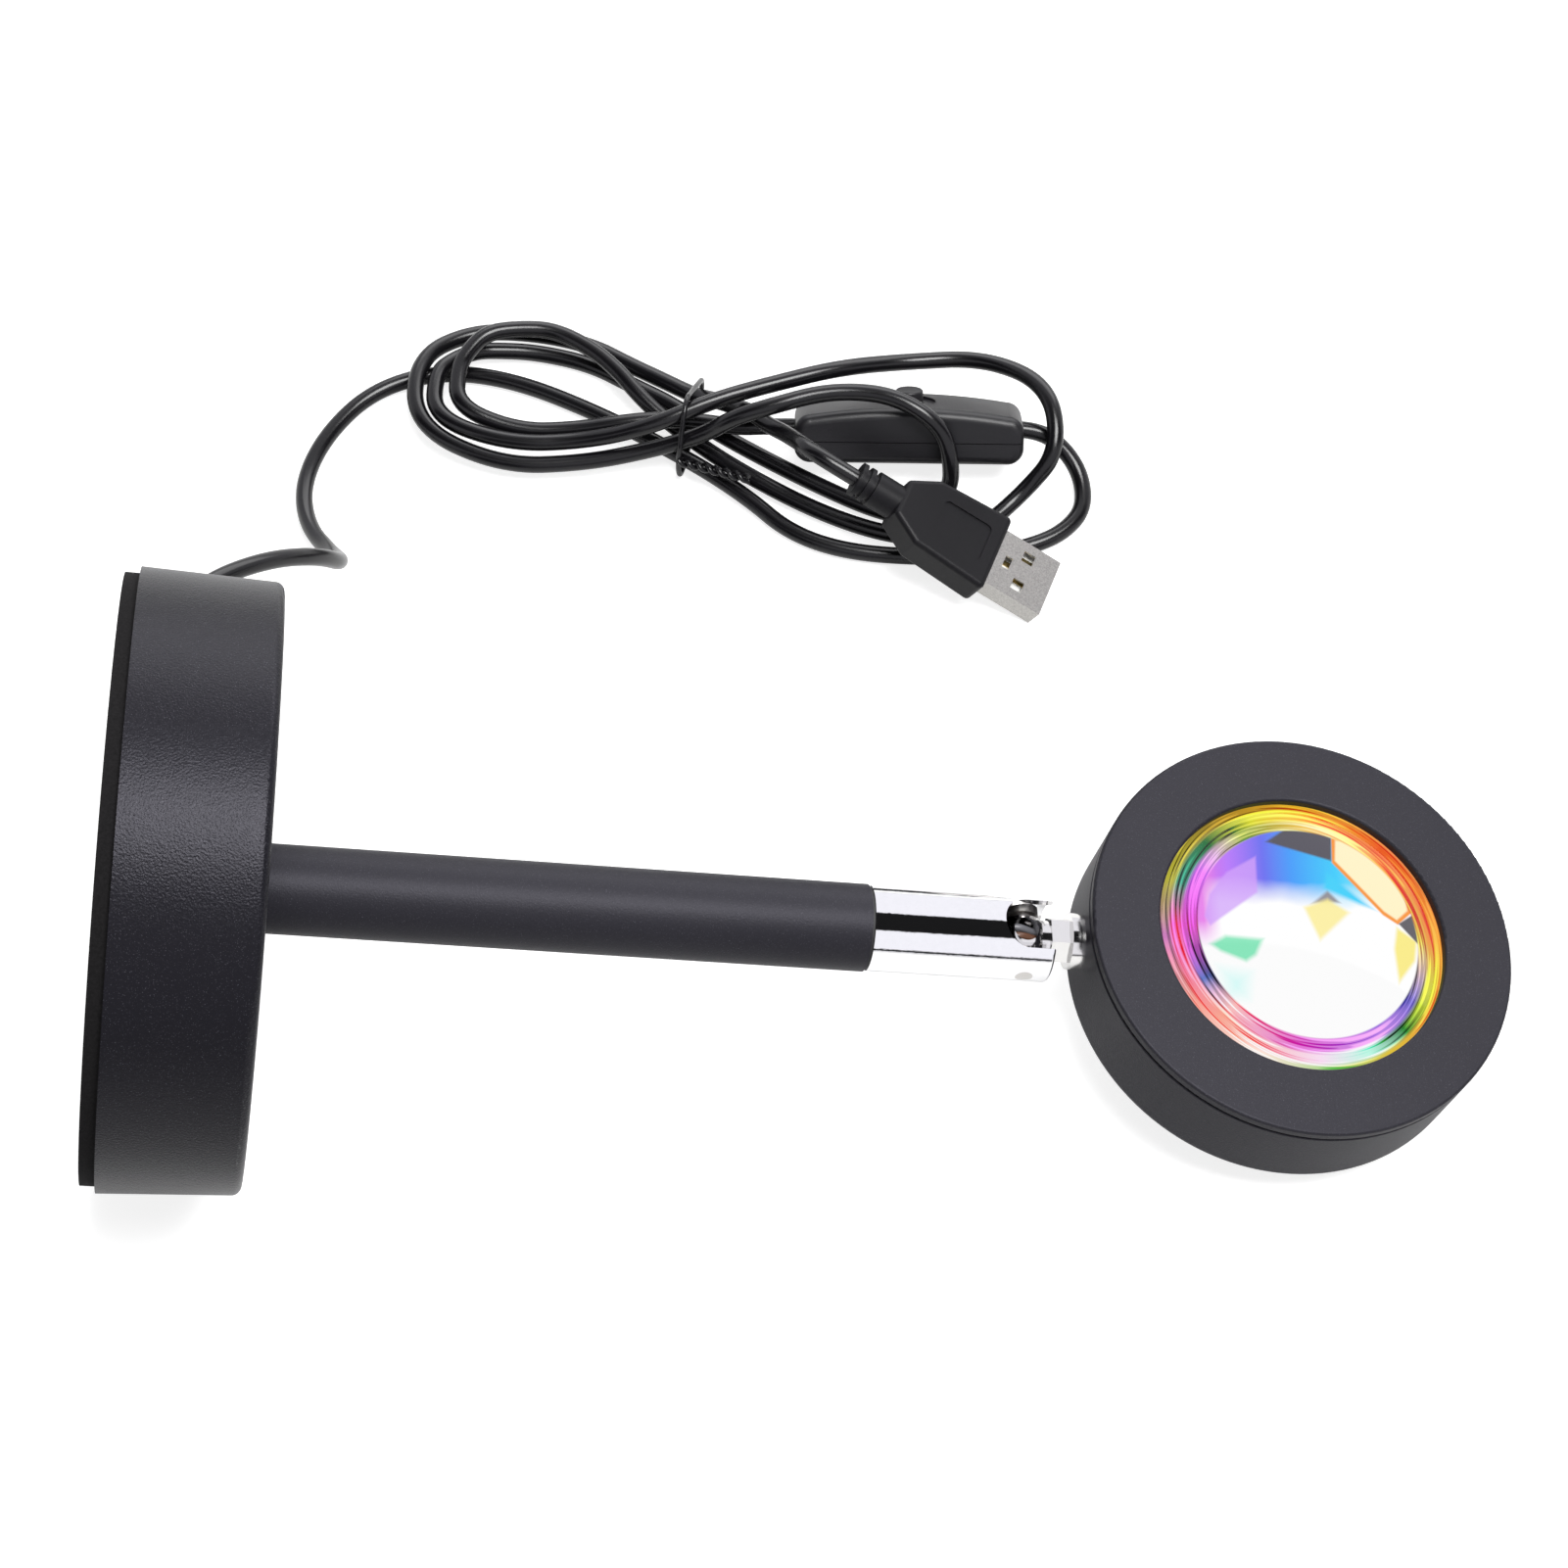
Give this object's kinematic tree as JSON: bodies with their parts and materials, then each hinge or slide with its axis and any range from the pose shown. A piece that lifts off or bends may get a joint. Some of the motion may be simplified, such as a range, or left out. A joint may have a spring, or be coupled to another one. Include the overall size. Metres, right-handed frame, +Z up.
{
  "type": "sunset projection lamp",
  "caption": "Round-based desk projection lamp on its side: slim post, slotted swivel joint, disc head with domed lens, lead with in-line switch and USB plug in a tied hank.",
  "frame": {"origin": "on the table, under the centre of the lamp lying on its side as pictured", "axes": "+X along the lamp from its base towards its head, +Y across the table towards the side where the lead leaves the base, +Z up from the table"},
  "size_m": [0.2409, 0.1939, 0.1015],
  "materials": {
    "base_coat": "fine textured powder coat",
    "head_coat": "satin powder coat",
    "foam": "matte closed-cell foam",
    "plate_zinc": "zinc-plated sheet",
    "iron": "black-painted casting",
    "steel": "satin",
    "chrome": "mirror plated",
    "brass": "turned",
    "cord_pvc": "satin PVC sheath",
    "wire_pvc": "insulated wire",
    "dark_plastic": "matte",
    "switch_plastic": "satin fine-grained",
    "plug_plastic": "satin",
    "tongue_plastic": "matte",
    "gilt": "gold-plated",
    "lens_glass": "clear, polished",
    "filter_glass": "dichroic coating",
    "heat_aluminium": "turned",
    "board": "white solder mask",
    "chip": "phosphor"
  },
  "bodies": {
    "root": {"foot_pad": "foam", "bottom_plate": "plate_zinc", "base_cover": "base_coat", "base_weight": "iron", "base_washer": "steel", "base_nut": "steel", "cord_grommet": "cord_pvc", "cord_in_base": "cord_pvc", "post_rod": "steel", "post_bush": "dark_plastic", "post_tube": "head_coat", "post_cap": "head_coat", "post_wires": "wire_pvc", "pan_washer": "dark_plastic", "pan_spring": "steel", "pan_nut": "steel", "cord_lead": "cord_pvc", "cord_hank": "cord_pvc", "cord_tie": "cord_pvc", "switch_cover": "switch_plastic", "switch_base": "switch_plastic", "switch_contacts": "brass", "usb_grip": "plug_plastic", "usb_shell": "steel", "usb_tongue": "tongue_plastic", "usb_contacts": "gilt"},
    "barrel": {"joint_barrel": "chrome", "tilt_pins": "steel", "tilt_washers": "steel", "joint_wires": "wire_pvc"},
    "head": {"neck_knuckle": "chrome", "neck_nut": "chrome", "head_locknut": "steel", "head_shell": "head_coat", "front_bezel": "head_coat", "front_lens": "lens_glass", "lens_holder": "dark_plastic", "colour_filter": "filter_glass", "heat_plate": "heat_aluminium", "led_board": "board", "led_chip": "chip", "condenser_lens": "lens_glass", "board_screws": "steel", "head_wires": "wire_pvc"},
    "button": {"switch_button": "switch_plastic"}
  },
  "joints": [
    {"name": "head_pan", "type": "hinge", "parent": "root", "child": "barrel", "pos_m": [0.0112, 0, 0.02946], "axis": [0.9823, 0, -0.1874], "range_deg": [-175, 175]},
    {"name": "neck_tilt", "type": "hinge", "parent": "barrel", "child": "head", "pos_m": [0.03714, 0, 0.02451], "axis": [0, -1, 0], "range_deg": [0, 90]},
    {"name": "switch_press", "type": "slide", "parent": "root", "child": "button", "axis": [-0.0224, -0.6424, -0.766], "range_m": [0, 0.0012], "stiffness_N_per_m": 400}
  ]
}
